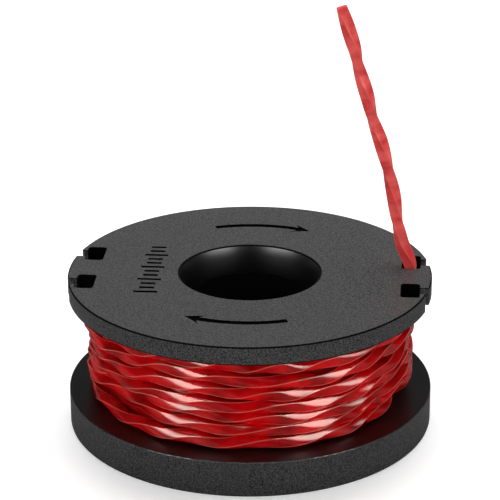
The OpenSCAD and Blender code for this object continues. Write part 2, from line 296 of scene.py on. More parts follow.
class LineSizes(bpy.types.PropertyGroup):
    """Sizes of the line and of its winding."""

    gauge: length("Gauge", "Thickness across the flats of the line", 1.9)
    corner: length("Corner", "Corner radius of the line's section", 0.08)
    hollow: length("Hollow", "How far the free end's flats are hollow", 0.03)
    bulge: length("Bulge", "How far the wound line's flats bulge", 0.16)
    twist_length: length("Twist Length", "Length in which the free end twists once", 41.7)
    wound_twist: length("Wound Twist", "Length in which the wound line twists once", 41.5)
    twist_start: angle("Twist Start", "Turn of the free end's section where it leaves its slot", 3)
    wound_start: angle("Wound Start", "Turn of the wound line's section below the slot", -33)
    turn_radius: length("Turn Radius", "Radius of the outer turns' middle", 28.3)
    start_angle: angle("Start Angle", "Where the outer layer climbs out", -13.3)
    start_height: length("Start Height", "Height where the outer layer climbs out", 9.5)
    start_depth: length("Start Depth", "Depth from which it climbs out", 1.9)
    end_angle: angle("End Angle", "Where the line turns up to its slot", 13.91)
    end_height: length("End Height", "Height of the line before it turns up", 22.85)
    end_lift: length("End Lift", "Way out of the last turn to its slot", 0.6)
    end_bend: length("End Bend", "Radius of the bend up into the slot", 2.4)
    sway: length("Sway", "How far the turns wander up and down", 0.2)
    nesting: length("Nesting", "How far a turn rises and falls over its neighbours' corners", 0.25)
    loose_width: angle("Loose Width", "How wide a loose place is", 15)
    loose_height: length("Loose Height", "How tall a loose place is", 2.2)
    inner_radius: length("Inner Radius", "Radius of the second layer's middle", 26.1)
    inner_pitch: length("Inner Pitch", "Height of a turn of the second layer", 2.3)
    core_radius: length("Core Radius", "Radius of the packed layers below it", 25.6)
    ring_step: length("Ring Step", "Distance from ring to ring of the mesh", 0.9)


class Finish(bpy.types.PropertyGroup):
    """Colours of the mouldings and of the line."""

    moulding: colour("Moulding", "Colour of the black moulding", (0.025, 0.025, 0.0254))
    speck: colour("Grain", "Colour of the moulding's grain", (0.1, 0.1, 0.101))
    # Near-black, a painted shade: the bore, the lower flange's ledge, the slots, the sunk marks and the
    # barrel
    bore: colour("Bore", "Colour of the polished bore", (0.0005, 0.0005, 0.0005))
    # Mixed into the bore at random as rubbed places, and the painted shade along the upper flange's
    # rounded edges
    rubbed_bore_and_edge_shade: colour("Rubbed Bore", "Colour of the bore where it is rubbed", (0.005, 0.005, 0.005))
    line: colour("Line", "Colour of the line", (0.92, 0.004, 0.009))
    # Mixed into the winding at random as a deeper tone, and the painted shade of the line below the outer
    # turns
    deep_and_shaded_line: colour("Deep Line", "Colour of the line where it is thick", (0.42, 0.001, 0.002))
    # A painted highlight along the line's corners
    ridge_highlight: colour("Ridge Highlight", "Colour of the line's whitened corners", (1.0, 0.22, 0.16))
    # The free end painted paler for the light that comes through it; its painted glow takes this colour
    # too
    line_lit: colour("Lit Line", "Colour of the free end, which light comes through", (0.9, 0.135, 0.128))
    # The free end's painted shade near its slot, and a deeper tone mixed in at random higher up
    line_shade: colour("Shaded Line", "Colour of the free end where it is thick", (0.58, 0.012, 0.014))
    floor: colour("Floor", "Colour of the floor", (0.8, 0.8, 0.8))


class StageSettings(bpy.types.PropertyGroup):
    """Light and view."""

    view_angle: angle("View Angle", "Direction in which the camera stands", -85.3)
    key_side: angle("Lamp Side", "Angle between the camera and each side lamp", 53)
    key_height: angle("Lamp Height", "Angle of the side lamps above the floor", 9)
    key_distance: length("Lamp Distance", "Distance of the side lamps", 600)
    key_size: length("Lamp Size", "Width and height of the side lamps", 160)
    key_power: number("Lamp Power", "Power of each side lamp", 0.65, "POWER")
    top_power: number("Top Power", "Power of the lamp overhead", 7.2, "POWER")
    ambient: share("Ambient", "Light that comes from all around", 0.06)
    panel: number("Panel", "Brightness of the tall panels that a gloss shows", 13)
    panel_width: angle("Panel Width", "Half the angle that a panel spans", 22)
    backdrop: share("Backdrop", "Brightness behind the spool as a gloss shows it", 0.12)
    overhead: share("Overhead", "Brightness elsewhere as a gloss shows it", 0.02)
    floor_gloss: share("Floor Gloss", "Share of the floor's colour that a gloss shows", 0.1)
    floor_glow: share("Floor Glow", "How far the floor is lit up to white where it is seen", 0.4)


# ---------- Meshes ----------


def as_mesh(name, bm):
    """Turns the edited mesh into one that an object can hold."""
    mesh = bpy.data.meshes.new(name)
    bm.to_mesh(mesh)
    bm.free()
    return mesh


def linked(name, data):
    """Puts a mesh, a lamp or a camera into the scene."""
    thing = bpy.data.objects.new(name, data)
    bpy.context.scene.collection.objects.link(thing)
    return thing


def add_piece(name, bm, materials, node):
    """Makes an object of the mesh, on the spool's one body, in place of its node of the frame."""
    piece = linked(name, as_mesh(name, bm))
    for material in materials:
        piece.data.materials.append(material)
    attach(piece, "root")
    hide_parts(node)
    return piece


def merge_and_orient(bm):
    """Joins doubled vertices and turns all faces outwards."""
    bmesh.ops.remove_doubles(bm, verts=bm.verts, dist=MERGE)
    bmesh.ops.recalc_face_normals(bm, faces=bm.faces)


def sharp_edges(bm, limit=SHARP_ANGLE):
    """The edges where two faces meet at more than the limit."""
    return [e for e in bm.edges if e.is_manifold and e.calc_face_angle(0) > limit]


def edges_of(verts):
    """The edges that end at the vertices, each once."""
    return list(dict.fromkeys(e for v in verts for e in v.link_edges))


def round_edges(bm, edges, radius, segments=ROUND_STEPS):
    """Rounds the edges."""
    bmesh.ops.bevel(
        bm, geom=edges, offset=radius, offset_type="OFFSET", segments=segments, profile=0.5,
        affect="EDGES", material=SAME, clamp_overlap=False, loop_slide=True,
    )


def smooth_shading(bm, limit=SHARP_ANGLE):
    """Shades the mesh smooth and keeps its edges past the limit sharp."""
    for part in [*bm.faces, *bm.edges]:
        part.smooth = True
    for edge in sharp_edges(bm, limit):
        edge.smooth = False


def lathe(bm, profile, steps):
    """Turns a closed outline of (radius, height) points once round the axis."""
    loop_of(bm, [(r, 0, z) for r, z in profile])
    bmesh.ops.spin(
        bm, geom=bm.verts[:] + bm.edges[:], cent=(0, 0, 0), axis=(0, 0, 1), angle=math.tau,
        steps=steps, use_merge=True,
    )
    merge_and_orient(bm)


def block(bm, size, matrix):
    """Adds a box of the given size."""
    made = bmesh.ops.create_cube(bm, size=1, matrix=matrix @ Matrix.Diagonal((*size, 1)))
    return made["verts"]


def loop_of(bm, points):
    """A closed loop of edges through the points."""
    verts = [bm.verts.new(p) for p in points]
    return [bm.edges.new(pair) for pair in zip(verts, verts[1:] + verts[:1])]


def on_circle(radius, turn):
    return (radius * math.cos(turn), radius * math.sin(turn))


def circle_points(radius, z, steps):
    return [(*on_circle(radius, math.tau * k / steps), z) for k in range(steps)]


def extruded_loop(bm, edges, matrix):
    """Extrudes a loop of edges, moves the new loop by the matrix and gives it back."""
    made = bmesh.ops.extrude_edge_only(bm, edges=edges)["geom"]
    verts = [e for e in made if isinstance(e, bmesh.types.BMVert)]
    fresh = set(verts)
    bmesh.ops.transform(bm, matrix=matrix, verts=verts)
    return [e for e in made if isinstance(e, bmesh.types.BMEdge) and set(e.verts) <= fresh]


def carved(piece, cutter_bm):
    """Cuts the second mesh out of a piece."""
    mesh = as_mesh("cutter", cutter_bm)
    cutter = linked("cutter", mesh)
    cut = piece.modifiers.new("cut", "BOOLEAN")
    cut.operation = "DIFFERENCE"
    cut.solver = "EXACT"
    cut.object = cutter
    apply_modifiers(piece)
    bpy.data.objects.remove(cutter)
    bpy.data.meshes.remove(mesh)


def apply_modifiers(piece):
    """Gives the piece the mesh that its modifiers make."""
    depsgraph = bpy.context.evaluated_depsgraph_get()
    result = bpy.data.meshes.new_from_object(piece.evaluated_get(depsgraph))
    piece.modifiers.clear()
    old = piece.data
    piece.data = result
    bpy.data.meshes.remove(old)


def mark_rounding(bm, widest, rounding):
    """Marks the sharp edges with the rounding that a function gives each, and shades the mesh smooth."""
    weight = bm.edges.layers.float.new("bevel_weight_edge")
    for edge in sharp_edges(bm):
        edge[weight] = rounding(edge) / widest
    for face in bm.faces:
        face.smooth = True


def round_marked(piece, widest, material=SAME):
    """Rounds the marked edges and keeps the shading of flat faces flat."""
    bevel = piece.modifiers.new("round", "BEVEL")
    bevel.width = widest
    bevel.segments = ROUND_STEPS
    bevel.material = material
    bevel.limit_method = "WEIGHT"
    bevel.use_clamp_overlap = False
    bevel.harden_normals = True
    apply_modifiers(piece)


# ---------- Upper flange ----------


def arc(centre, radius, start, end, steps):
    """Points of an arc, both ends included."""
    turns = [start + (end - start) * k / steps for k in range(steps + 1)]
    return [(centre[0] + radius * math.cos(t), centre[1] + radius * math.sin(t)) for t in turns]


def throat_corner(sizes, slot, side):
    """Centre and end angle of the rounding where a throat opens at the rim."""
    y = slot.offset + side * (slot.throat_width / 2 + slot.throat_round)
    reach = sizes.flange_radius - slot.throat_round
    centre = (math.sqrt(reach ** 2 - y ** 2), y)
    return centre, math.atan2(y, centre[0])


def quarter_outline(sizes, slot):
    """The flange's outline in the quadrant of one slot, from the ear's middle to a quarter turn on."""
    near = slot.offset - slot.hole_width / 2 + slot.hole_round
    far = slot.offset + slot.hole_width / 2 - slot.hole_round
    inside = slot.seat + slot.hole_round
    outside = slot.wall - slot.hole_round
    low, low_angle = throat_corner(sizes, slot, -1)
    high, high_angle = throat_corner(sizes, slot, 1)
    ear_steps = max(2, round(low_angle / math.tau * RIM_STEPS))
    rim_steps = round((QUARTER - high_angle) / math.tau * RIM_STEPS)
    points = arc((0, 0), sizes.flange_radius, 0, low_angle, ear_steps)[:-1]
    points += arc(low, slot.throat_round, low_angle, QUARTER, CORNER_STEPS)
    points.append((slot.wall + slot.ear_relief, slot.offset - slot.throat_width / 2))
    points.append((slot.wall, slot.offset - slot.throat_width / 2))
    corners = [(outside, near, 0), (inside, near, -1), (inside, far, 2), (outside, far, 1)]
    for x, y, turn in corners:
        points += arc((x, y), slot.hole_round, turn * QUARTER, (turn - 1) * QUARTER, CORNER_STEPS)
    points.append((slot.wall, slot.offset + slot.throat_width / 2))
    points += arc(high, slot.throat_round, -QUARTER, high_angle, CORNER_STEPS)
    points += arc((0, 0), sizes.flange_radius, high_angle, QUARTER, rim_steps)[1:]
    return points


def flange_outline(bm, sizes, slot):
    """The whole outline as a loop of edges at the top face, by mirroring one quadrant twice."""
    verts = [bm.verts.new((x, y, sizes.height)) for x, y in quarter_outline(sizes, slot)]
    for pair in zip(verts, verts[1:]):
        bm.edges.new(pair)
    for axis in ("X", "Y"):
        bmesh.ops.mirror(
            bm, geom=bm.verts[:] + bm.edges[:], matrix=Matrix.Identity(4), merge_dist=MERGE, axis=axis,
        )
    bmesh.ops.remove_doubles(bm, verts=bm.verts, dist=MERGE)
    return bm.edges[:]


def arrow_outline(marks):
    """One curved arrow, pointing clockwise, as a closed outline."""
    head = marks.head_length / marks.arrow_radius
    tip = marks.arrow_middle - marks.arrow_span / 2
    tail = marks.arrow_middle + marks.arrow_span / 2
    barb = tip + head
    half = marks.arrow_width / 2
    wide = marks.head_width / 2
    neck = barb - head * marks.barb * (1 - half / wide)
    points = arc((0, 0), marks.arrow_radius + half, tail, neck, ARROW_STEPS)
    points.append(on_circle(marks.arrow_radius + wide, barb))
    points.append(on_circle(marks.arrow_radius, tip))
    points.append(on_circle(marks.arrow_radius - wide, barb))
    points += arc((0, 0), marks.arrow_radius - half, neck, tail, ARROW_STEPS)
    return points


def bar_outlines(marks):
    """The plain bars of the row."""
    outlines = []
    for k in range(marks.bar_count):
        reach = (marks.short_bar_length if k % LONG_BAR else marks.bar_length) / 2
        y = (k - (marks.bar_count - 1) / 2) * marks.bar_pitch
        outlines.append(rectangle(-marks.row_distance, y, reach, marks.bar_width / 2))
    return outlines


def rectangle(x, y, half_x, half_y):
    return [
        (x - half_x, y - half_y), (x + half_x, y - half_y), (x + half_x, y + half_y),
        (x - half_x, y + half_y),
    ]


def mark_outlines(marks):
    """All sunk marks: the two arrows and the bars."""
    arrow = arrow_outline(marks)
    opposite = [(-x, -y) for x, y in arrow]
    return [arrow, opposite, *bar_outlines(marks)]


def sink_mark(bm, edges, depth):
    """Gives a mark its walls and its floor, and gives back all its vertices."""
    floor = extruded_loop(bm, edges, Matrix.Translation((0, 0, -depth)))
    bmesh.ops.contextual_create(bm, geom=floor)
    return {v for e in edges + floor for v in e.verts}


def bore_rings(sizes, body):
    """Radius and height of each ring of the bore and the collar, from the mouth down and back up."""
    collar_bottom = sizes.underside - body.collar_length
    bore = sizes.bore_radius
    return [
        (bore, sizes.height - sizes.mouth_depth), (bore, collar_bottom),
        (bore + body.collar, collar_bottom), (bore + body.collar, sizes.underside),
    ]


def ring_move(before, after):
    """The matrix that takes a ring of one radius and height to another."""
    (r0, z0), (r1, z1) = before, after
    grow = Matrix.Diagonal((r1 / r0, r1 / r0, 1, 1))
    return Matrix.Translation((0, 0, z1)) @ grow @ Matrix.Translation((0, 0, -z0))


def under_ear(vert, slot):
    """True for a vertex of the underside that belongs to an ear."""
    inside = slot.offset - slot.throat_width / 2 + MERGE
    return abs(vert.co.x) > slot.wall + MERGE and abs(vert.co.y) < inside


def ear_chords(bm, verts, x):
    """Edges across both ears at a distance from the axis."""
    chords = []
    for side in (-1, 1):
        ends = [v for v in verts if abs(v.co.x - side * x) < MERGE]
        ends = sorted(ends, key=lambda v: abs(v.co.y))[:2]
        chords.append(bm.edges.new(ends))
    return chords


def fill_between(bm, loops, up):
    """Fills the flat face between loops of edges and gives back what it made."""
    return bmesh.ops.triangle_fill(
        bm, use_beauty=True, use_dissolve=False, edges=loops, normal=(0, 0, up),
    )["geom"]


def bore_wall(bm, ring, sizes, body):
    """Takes the mouth's edge down the bore and up round the collar, and gives back the last ring."""
    rings = [(sizes.mouth_radius, sizes.height), *bore_rings(sizes, body)]
    for before, after in zip(rings, rings[1:]):
        ring = extruded_loop(bm, ring, ring_move(before, after))
    return ring


def close_underside(bm, below, ring, sizes, slot):
    """Fills the underside from its outline to the collar, and raises the ears."""
    rim = list(dict.fromkeys(v for e in below for v in e.verts))
    chords = ear_chords(bm, rim, slot.wall) + ear_chords(bm, rim, slot.wall + slot.ear_relief)
    over_bore = [
        f for f in fill_between(bm, below + ring + chords, -1)
        if isinstance(f, bmesh.types.BMFace) and f.calc_center_median().xy.length < sizes.bore_radius
    ]
    bmesh.ops.delete(bm, geom=over_bore, context="FACES_ONLY")
    for vert in rim:
        if under_ear(vert, slot):
            vert.co.z += slot.ear_relief


def upper_flange_mesh(sizes, slot, marks, body):
    bm = bmesh.new()
    outline = flange_outline(bm, sizes, slot)
    mouth = loop_of(bm, circle_points(sizes.mouth_radius, sizes.height, BORE_STEPS))
    sunk = [loop_of(bm, [(x, y, sizes.height) for x, y in o]) for o in mark_outlines(marks)]
    fill_between(bm, outline + mouth + [e for loop in sunk for e in loop], 1)
    in_marks = set()
    for loop in sunk:
        in_marks |= sink_mark(bm, loop, sizes.mark_depth)
    below = extruded_loop(bm, outline, Matrix.Translation((0, 0, -sizes.upper_thickness)))
    close_underside(bm, below, bore_wall(bm, mouth, sizes, body), sizes, slot)
    merge_and_orient(bm)
    mark_rounding(bm, sizes.rim_round, lambda edge: upper_rounding(edge, sizes, slot, in_marks))
    return bm


def upper_rounding(edge, sizes, slot, in_marks):
    """Rounding of one edge: least along the marks, small in the slots, and full elsewhere."""
    if set(edge.verts) <= in_marks:
        return sizes.mark_round
    inside = sizes.flange_radius - MERGE
    if all(abs(v.co.x) > slot.seat - MERGE and v.co.xy.length < inside for v in edge.verts):
        return sizes.slot_round
    return sizes.rim_round


def slot_flash(bm, sizes, slot):
    """A thin upright fin of flash on the ear's wall in each hole."""
    height = sizes.upper_thickness - 2 * sizes.rim_round
    reach = slot.offset - slot.hole_width / 2
    for side_x in (-1, 1):
        for side_y in (-1, 1):
            place = Vector((
                side_x * (slot.seat + slot.flash_place), side_y * reach,
                sizes.height - sizes.upper_thickness / 2,
            ))
            verts = block(bm, (slot.flash, 2 * slot.flash, height), Matrix.Translation(place))
            round_edges(bm, edges_of(verts), slot.flash / 4, SMALL_ROUND_STEPS)


def give_material(bm, index, chosen):
    """Gives the chosen faces another of the piece's materials."""
    for face in bm.faces:
        if chosen(face):
            face.material_index = index


def upright(face):
    return abs(face.normal.z) < LEVEL


def within(face, radius):
    """True for a face that lies inside a radius."""
    return max(v.co.xy.length for v in face.verts) < radius + MERGE


def faces_up(face, low, high):
    """True for a face that looks up between two heights."""
    return face.normal.z > LEVEL and low - MERGE < face.verts[0].co.z < high - MERGE


def sunk_in_top(face, sizes):
    """True for the floor of a mark."""
    return faces_up(face, sizes.underside, sizes.height)


def make_upper_flange(context):
    scene = context.scene
    sizes, slot = scene.spool_sizes, scene.slot_sizes
    bm = upper_flange_mesh(sizes, slot, scene.mark_sizes, scene.body_sizes)
    slot_flash(bm, sizes, slot)
    # The slots' walls and the marks' walls and floors take the dull black: painted shade
    give_material(bm, SHADED_RECESS, lambda face: upright(face) and within(face, slot.wall * SHADE_REACH))
    give_material(bm, SHADED_RECESS, lambda face: within(face, slot.wall) and sunk_in_top(face, sizes))
    # The bore's wall and its mouth take the near-black polished material: painted shade
    give_material(bm, SHADED_BORE, lambda face: upright(face) and within(face, sizes.mouth_radius))
    finish = scene.finish
    materials = [
        moulding_material(finish), shaded_bore_material(finish),
        shaded_material("shaded_recess", finish.bore), shaded_material("shaded_edge", finish.rubbed_bore_and_edge_shade),
    ]
    piece = add_piece("slotted_flange", bm, materials, "upper_flange")
    # The rounded edges take the dark material: painted shade along them
    round_marked(piece, sizes.rim_round, material=SHADED_EDGE)


# ---------- Lower flange ----------


def lower_profile(sizes, body):
    """Outline of the lower flange's section, from the bore's lead-in outwards."""
    bore = sizes.bore_radius
    collar_top = sizes.lower_thickness + body.collar_length
    web_bottom = sizes.lower_thickness - body.web
    rim = sizes.base_radius
    skirt = rim - body.skirt
    ledge = sizes.lower_thickness
    return [
        (bore, body.lead_in), (bore + body.lead_in, 0), (bore + body.boss, 0),
        (bore + body.boss, web_bottom), (skirt, web_bottom), (skirt, 0), (rim, 0), (rim, ledge),
        (bore + body.collar, ledge), (bore + body.collar, collar_top), (bore, collar_top),
    ]


def drive_lugs(bm, sizes, body):
    """Lugs below the web, each reaching a little into the web and the boss."""
    inner = sizes.bore_radius + body.boss / 2
    top = sizes.lower_thickness - body.web / 2
    size = (body.lug_reach - inner, body.lug_width, top - body.lug_rise)
    centre = Vector(((body.lug_reach + inner) / 2, 0, (top + body.lug_rise) / 2))
    for k in range(body.lug_count):
        turn = Matrix.Rotation(math.tau * (k + 0.5) / body.lug_count, 4, "Z")
        verts = block(bm, size, turn @ Matrix.Translation(centre))
        round_edges(bm, edges_of(verts), sizes.small_round * 2)


def make_lower_flange(context):
    scene = context.scene
    sizes, body = scene.spool_sizes, scene.body_sizes
    bm = bmesh.new()
    lathe(bm, lower_profile(sizes, body), RIM_STEPS)
    mark_rounding(bm, sizes.rim_round, lambda edge: sizes.rim_round)
    drive_lugs(bm, sizes, body)
    ledge = sizes.lower_thickness
    # The bore and the ledge under the winding take the near-black polished material: painted shade
    give_material(bm, SHADED_BORE, lambda face: upright(face) and within(face, sizes.mouth_radius))
    give_material(bm, SHADED_BORE, lambda face: faces_up(face, ledge, ledge + 2 * MERGE))
    materials = [moulding_material(scene.finish), shaded_bore_material(scene.finish)]
    round_marked(add_piece("stand_flange", bm, materials, "lower_flange"), sizes.rim_round)


# ---------- Hub barrel ----------


def barrel_profile(sizes, body):
    """Outline of the barrel's section, with the seats of both collars."""
    bore = sizes.bore_radius
    outer = bore + body.barrel
    seat = bore + body.collar + body.plug_gap
    depth = body.collar_length + body.plug_gap
    bottom = sizes.lower_thickness
    top = sizes.underside
    return [
        (seat, bottom), (outer, bottom), (outer, top), (seat, top),
        (seat, top - depth), (bore, top - depth), (bore, bottom + depth), (seat, bottom + depth),
    ]


def anchor_hole(sizes, body, line):
    """A round bar in the place of the anchor hole."""
    bm = bmesh.new()
    hole = line.gauge / 2 + body.anchor_gap
    place = Vector((0, -sizes.bore_radius - body.barrel / 2, sizes.lower_thickness + body.anchor_rise))
    bmesh.ops.create_cone(
        bm, cap_ends=True, segments=ANCHOR_STEPS, radius1=hole, radius2=hole, depth=body.barrel * 2,
        matrix=Matrix.Translation(place) @ Matrix.Rotation(QUARTER, 4, "X"),
    )
    return bm


def make_hub_barrel(context):
    scene = context.scene
    sizes, body, line = scene.spool_sizes, scene.body_sizes, scene.line_sizes
    bm = bmesh.new()
    lathe(bm, barrel_profile(sizes, body), BORE_STEPS)
    round_edges(bm, sharp_edges(bm), sizes.small_round / 2, SMALL_ROUND_STEPS)
    # The barrel, seen deep in the bore, takes the dull black: painted shade
    material = shaded_material("shaded_recess", scene.finish.bore)
    piece = add_piece("barrel", bm, [material], "hub_barrel")
    carved(piece, anchor_hole(sizes, body, line))
    shade_piece(piece)


def shade_piece(piece):
    """Smooth shading with sharp edges for a piece whose mesh is already in place."""
    bm = bmesh.new()
    bm.from_mesh(piece.data)
    smooth_shading(bm)
    bm.to_mesh(piece.data)
    bm.free()


# ---------- Line ----------


def catmull_rom(points, samples):
    """A smooth curve through the points."""
    first = points[0] * 2 - points[1]
    last = points[-1] * 2 - points[-2]
    padded = [first, *points, last]
    curve = []
    for a, b, c, d in zip(padded, padded[1:], padded[2:], padded[3:]):
        for k in range(samples):
            t = k / samples
            curve.append(
                0.5 * (2 * b + (c - a) * t + (2 * a - 5 * b + 4 * c - d) * t ** 2
                       + (3 * b - a - 3 * c + d) * t ** 3)
            )
    return [*curve, points[-1].copy()]


def evenly(points, step):
    """Points nearly a step apart along the route, its ends kept."""
    reach = [0]
    for a, b in zip(points, points[1:]):
        reach.append(reach[-1] + (b - a).length)
    count = max(2, round(reach[-1] / step))
    placed, k = [], 0
    for n in range(count + 1):
        target = reach[-1] * n / count
        while k < len(points) - 2 and reach[k + 1] < target:
            k += 1
        span = reach[k + 1] - reach[k]
        placed.append(points[k].lerp(points[k + 1], min(1, (target - reach[k]) / span)))
    return placed


def tail_route(line):
    """The free end, from the top of its slot to the cut."""
    start = Vector((EXIT_X, EXIT_Y, EXIT_Z))
    knots = [start + Vector(p) * MM for p in TAIL_OFFSETS]
    return evenly(catmull_rom(knots, CURVE_SAMPLES), line.ring_step / 2)


def polar(radius, turn, z):
    return Vector((*on_circle(radius, turn), z))


def eased(x):
    """Runs smoothly from 0 to 1."""
    x = min(1, max(0, x))
    return x * x * (3 - 2 * x)


def turn_heights(line):
    """Knots of height against the angle swept: the start, the passes of the front, and the end."""
    knots = [(0, line.start_height)]
    for k in range(OUTER_TURNS):
        for place, heights in TURN_HEIGHTS.items():
            swept = line.start_angle - math.radians(place) + math.tau * k
            knots.append((swept, heights[k] * MM))
    total = line.start_angle - line.end_angle + math.tau * OUTER_TURNS
    knots.append((total, line.end_height))
    return knots


def height_at(knots, swept):
    """Height between two knots."""
    for (a0, z0), (a1, z1) in zip(knots, knots[1:]):
        if swept <= a1:
            return z0 + (z1 - z0) * eased((swept - a0) / (a1 - a0))
    return knots[-1][1]


def sway_at(line, swept):
    """A slow wander that never repeats from turn to turn."""
    return line.sway * sum(part * math.sin(pace * swept + start) for part, pace, start in SWAY_WAVES)


def sunk_at(line, turn, z):
    """How far a turn sinks in at the loose places."""
    depth = 0
    for place, height, sunk in LOOSE_PLACES:
        off = (turn - math.radians(place) + math.pi) % math.tau - math.pi
        near = (off / line.loose_width) ** 2 + ((z - height * MM) / line.loose_height) ** 2
        depth += sunk * MM * math.exp(-near)
    return depth


def wound_route(line):
    """The outer layer: out of the inner layers, seven turns up, and the bend into the slot."""
    knots = turn_heights(line)
    total = knots[-1][0]
    steps = round(total * line.turn_radius / line.ring_step)
    points = []
    for k in range(steps + 1):
        swept = total * k / steps
        turn = line.start_angle - swept
        fade = eased(swept / SWAY_START_SPAN) * eased((total - swept) / SWAY_END_SPAN)
        z = height_at(knots, swept) + fade * sway_at(line, swept)
        out = line.turn_radius - line.start_depth * (1 - eased(swept / CLIMB_SPAN))
        out += line.end_lift * max(0, 1 - (total - swept) / LIFT_SPAN)
        out += fade * sway_at(line, OUTWARD_PACE * swept) - sunk_at(line, turn, z)
        points.append(polar(out, turn, z))
    return evenly(points + slot_bend(line, points[-1]), line.ring_step)


def slot_bend(line, foot):
    """The bend upwards and the straight stretch in the slot."""
    along = polar(1, line.end_angle - QUARTER, 0)
    points = []
    for k in range(1, BEND_STEPS + 1):
        turn = QUARTER * k / BEND_STEPS
        step = math.sin(turn) * along + Vector((0, 0, 1 - math.cos(turn)))
        points.append(foot + line.end_bend * step)
    points.append(Vector((EXIT_X, EXIT_Y, EXIT_Z)))
    return points


def inner_route(line, sizes):
    """The second layer, which runs down the other way below the outer one."""
    bottom = sizes.lower_thickness + line.gauge * INNER_ROOM
    top = sizes.underside - line.gauge * INNER_ROOM
    turns = (top - bottom) / line.inner_pitch
    steps = round(turns * math.tau * line.inner_radius / (line.ring_step * INNER_STEP))
    points = []
    for k in range(steps + 1):
        swept = turns * math.tau * k / steps
        z = top - (top - bottom) * k / steps + sway_at(line, swept)
        points.append(polar(line.inner_radius - sunk_at(line, -swept, z), -swept, z))
    return points


def section_points(line, bulge):
    """The line's section: a square with small round corners and slightly curved flats."""
    half = (line.gauge - max(0, bulge) / 2) / 2
    reach = half - line.corner
    points = []
    for k in range(SIDES):
        turn = Quaternion((0, 0, 1), QUARTER * k)
        flat = [(half + bulge * (1 - y * y), y * reach) for y in FLAT_POINTS]
        for x, y in [*flat, *arc((reach, reach), line.corner, 0, QUARTER, SECTION_STEPS)]:
            points.append(turn @ Vector((x, y, 0)))
    return points


def ring_frames(points, side, twist_start, twist_step):
    """A matrix for each point: the section turns with the twist and follows the route."""
    frames = []
    heading = (points[1] - points[0]).normalized()
    side = (side - side.dot(heading) * heading).normalized()
    twist = twist_start
    for k, point in enumerate(points):
        ahead = points[min(k + 1, len(points) - 1)] - points[max(k - 1, 0)]
        ahead.normalize()
        side = heading.rotation_difference(ahead) @ side
        heading = ahead
        if k:
            twist += twist_step * (point - points[k - 1]).length
        turned = Quaternion(heading, twist) @ side
        across = heading.cross(turned)
        turn = Matrix((turned, across, heading)).transposed().to_4x4()
        frames.append(Matrix.Translation(point) @ turn)
    return frames


def sweep_line(bm, line, frames, bulge):
    """Rolls a long grid up into the line, one row of its vertices at each frame, and closes both ends."""
    place = bm.verts.layers.float_vector.new("line_space")
    section = section_points(line, bulge)
    steps = len(section)
    last = len(frames) - 1
    bmesh.ops.create_grid(bm, x_segments=last, y_segments=steps, size=1)
    for vert in bm.verts:
        k = round((vert.co.x + 1) / 2 * last)
        point = section[round((vert.co.y + 1) / 2 * steps) % steps]
        vert[place] = (point.x, point.y, k * line.ring_step)
        vert.co = frames[k] @ point
    bmesh.ops.remove_doubles(bm, verts=bm.verts, dist=MERGE)
    bmesh.ops.holes_fill(bm, edges=[e for e in bm.edges if e.is_boundary], sides=steps)


def nested(frames, depth):
    """Lets wound line rise and fall as its corners turn over the turns beside it."""
    for frame in frames:
        side, heading = frame.col[0].xyz, frame.col[2].xyz
        outwards = Vector((*frame.translation.xy, 0)).normalized()
        turn = math.atan2(side.z, side.dot(outwards))
        level = 1 - abs(heading.z)
        frame.translation = frame.translation - Vector((0, 0, depth * level * math.sin(SIDES * turn)))
    return frames


def loosened(frames):
    """Twists each turn a little more or less where it crosses the right of the front."""
    heights = TURN_HEIGHTS[TWISTED_PLACE]
    for k, frame in enumerate(frames):
        x, y, z = frame.translation
        off = abs(math.degrees(math.atan2(y, x)) - TWISTED_PLACE)
        nearest = min(range(OUTER_TURNS), key=lambda turn: abs(heights[turn] * MM - z))
        extra = math.radians(TWIST_CHANGES[nearest]) * eased(1 - off / TWISTED_SPAN)
        frames[k] = frame @ Matrix.Rotation(extra, 4, "Z")
    return frames


def line_mesh(line, points, side, twist_start, twist_length, wound=False):
    """The line along a route, with a left-handed twist."""
    frames = ring_frames(points, side, twist_start, -math.tau / twist_length)
    if wound:
        frames = nested(loosened(frames), line.nesting)
    bm = bmesh.new()
    sweep_line(bm, line, frames, line.bulge if wound else -line.hollow)
    merge_and_orient(bm)
    smooth_shading(bm, LINE_SHARP_ANGLE)
    return bm


def make_line_tail(context):
    line = context.scene.line_sizes
    points = tail_route(line)
    bm = line_mesh(line, points, Vector((1, 0, 0)), line.twist_start, line.twist_length)
    piece = add_piece("free_end", bm, [line_material(context.scene)], "line_tail")


def make_outer_turns(context):
    """The winding is swept from its slot backwards."""
    line = context.scene.line_sizes
    points = wound_route(line)[::-1]
    bm = line_mesh(
        line, points, Vector((1, 0, 0)), line.wound_start, line.wound_twist, wound=True,
    )
    add_piece("outer_turns", bm, [wound_line_material(context.scene)], "line_outer_turns")


def make_inner_layers(context):
    scene = context.scene
    line, sizes, body = scene.line_sizes, scene.spool_sizes, scene.body_sizes
    points = inner_route(line, sizes)
    bm = line_mesh(line, points, Vector((1, 0, 0)), 0, line.wound_twist)
    core = bmesh.new()
    inner = sizes.bore_radius + body.barrel + body.plug_gap
    bottom = sizes.lower_thickness + body.plug_gap
    top = sizes.underside - body.plug_gap
    outer = line.core_radius
    lathe(core, [(inner, bottom), (outer, bottom), (outer, top), (inner, top)], BORE_STEPS)
    smooth_shading(core)
    held = as_mesh("core", core)
    bm.from_mesh(held)
    bpy.data.meshes.remove(held)
    add_piece("inner_layers", bm, [shaded_line_material(scene)], "line_inner_layers")


